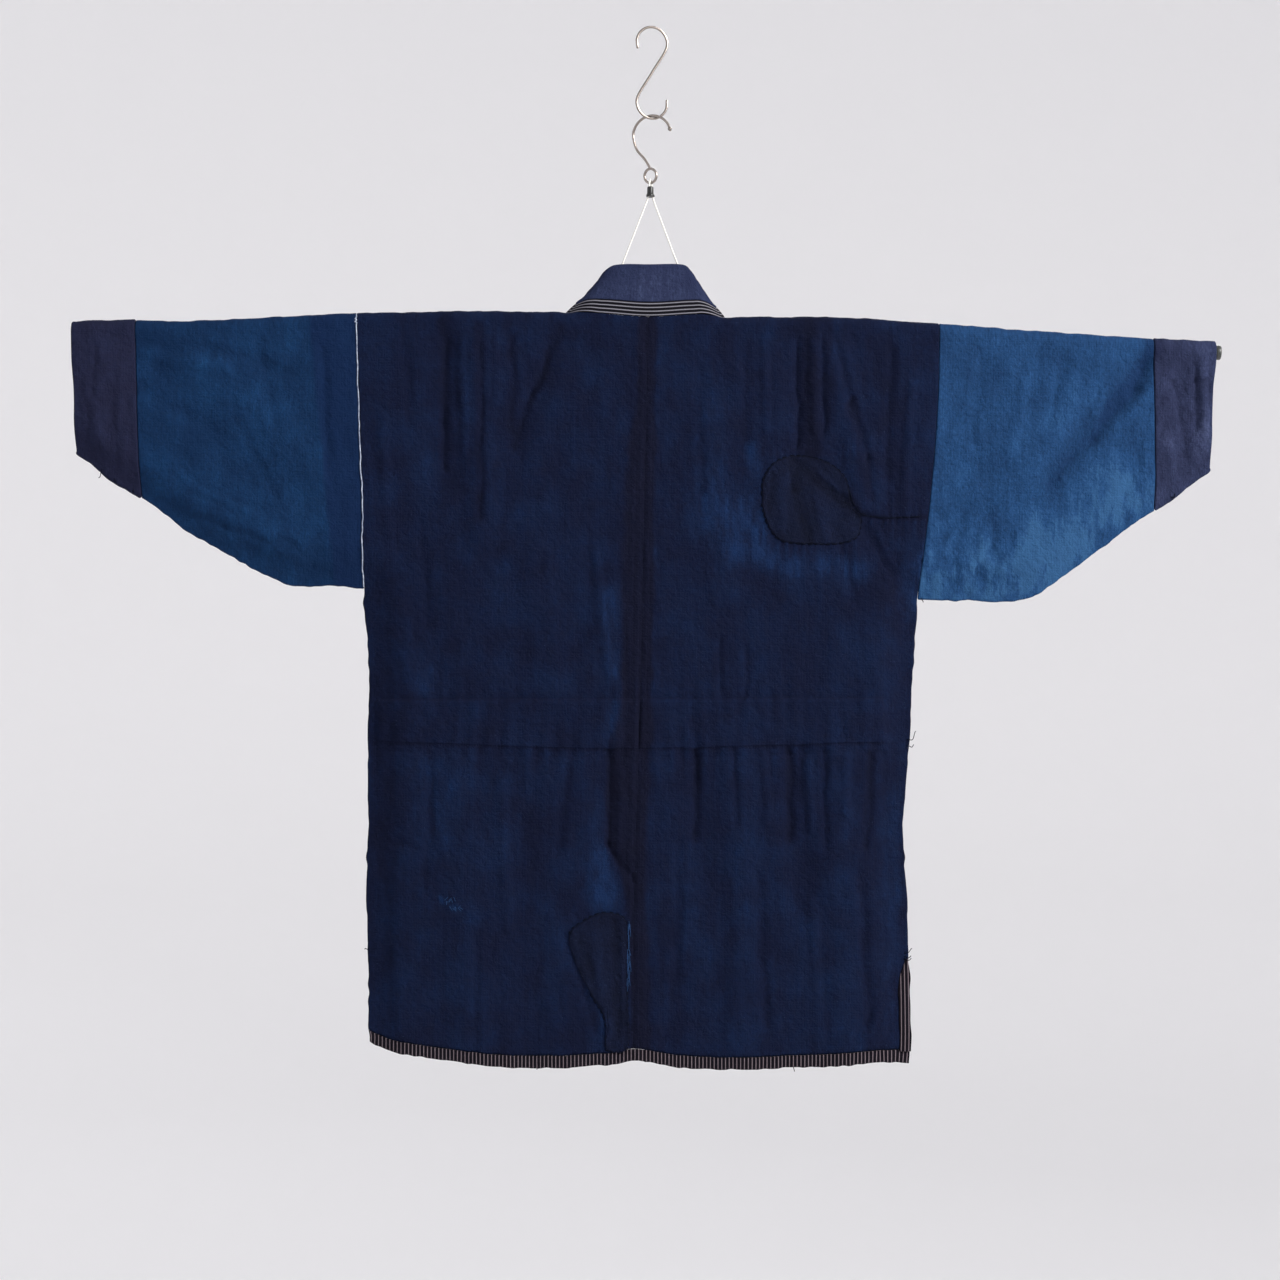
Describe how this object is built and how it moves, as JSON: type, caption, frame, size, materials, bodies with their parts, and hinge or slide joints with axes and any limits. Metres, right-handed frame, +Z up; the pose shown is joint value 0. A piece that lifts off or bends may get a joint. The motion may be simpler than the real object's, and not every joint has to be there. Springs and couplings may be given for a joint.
{
  "type": "patched cotton work jacket on a cord hanger",
  "caption": "Boxy patched indigo cotton jacket with tapered sleeves and band collar, hung flat by a rod, cord and wire hooks.",
  "frame": {"origin": "inside top of the S-hook's upper bow, where a rail carries it", "axes": "+X along the sleeves to the right as the back is looked at, +Y out of the front, +Z up"},
  "size_m": [1.2225, 0.0303, 1.1087],
  "materials": {
    "back_indigo": "matt hand-woven cotton, deep indigo, patchy",
    "front_indigo": "matt hand-woven cotton, deep indigo",
    "sleeve_blue": "matt hand-woven cotton, blue",
    "sleeve_faded": "matt faded hand-woven cotton, heathered blue",
    "cuff_purple": "matt cotton, purple navy",
    "cuff_violet": "matt worn cotton, grey violet",
    "collar_violet": "matt worn cotton, grey violet",
    "striped_cotton": "striped cotton, cream on brown black",
    "patch_indigo": "matt cotton, brown navy",
    "rod_wood": "stained bamboo, satin",
    "black_plastic": "satin",
    "white_cord": "braided cotton cord",
    "steel_wire": "drawn wire"
  },
  "bodies": {
    "root": {"back_left": "back_indigo", "back_right": "back_indigo", "front_left": "front_indigo", "front_left_side": "front_indigo", "front_left_shoulder": "front_indigo", "front_right": "front_indigo", "front_right_side": "front_indigo", "front_right_shoulder": "front_indigo", "collar_front_left": "collar_violet", "collar_front_right": "collar_violet", "sleeve_left": "sleeve_blue", "sleeve_right": "sleeve_faded", "cuff_left": "cuff_purple", "cuff_right": "cuff_violet", "collar": "collar_violet", "collar_base": "striped_cotton", "hem_band_back_left": "striped_cotton", "hem_band_back_right": "striped_cotton", "hem_band_front_left": "striped_cotton", "hem_band_front_right": "striped_cotton", "vent_band_right": "striped_cotton", "patch_oval": "patch_indigo", "patch_hem": "patch_indigo", "hanger_rod": "rod_wood", "rod_cap_left": "black_plastic", "rod_cap_right": "black_plastic", "cord_lock": "black_plastic", "hanger_cord": "white_cord", "hanger_hook": "steel_wire", "s_hook": "steel_wire"}
  },
  "joints": []
}
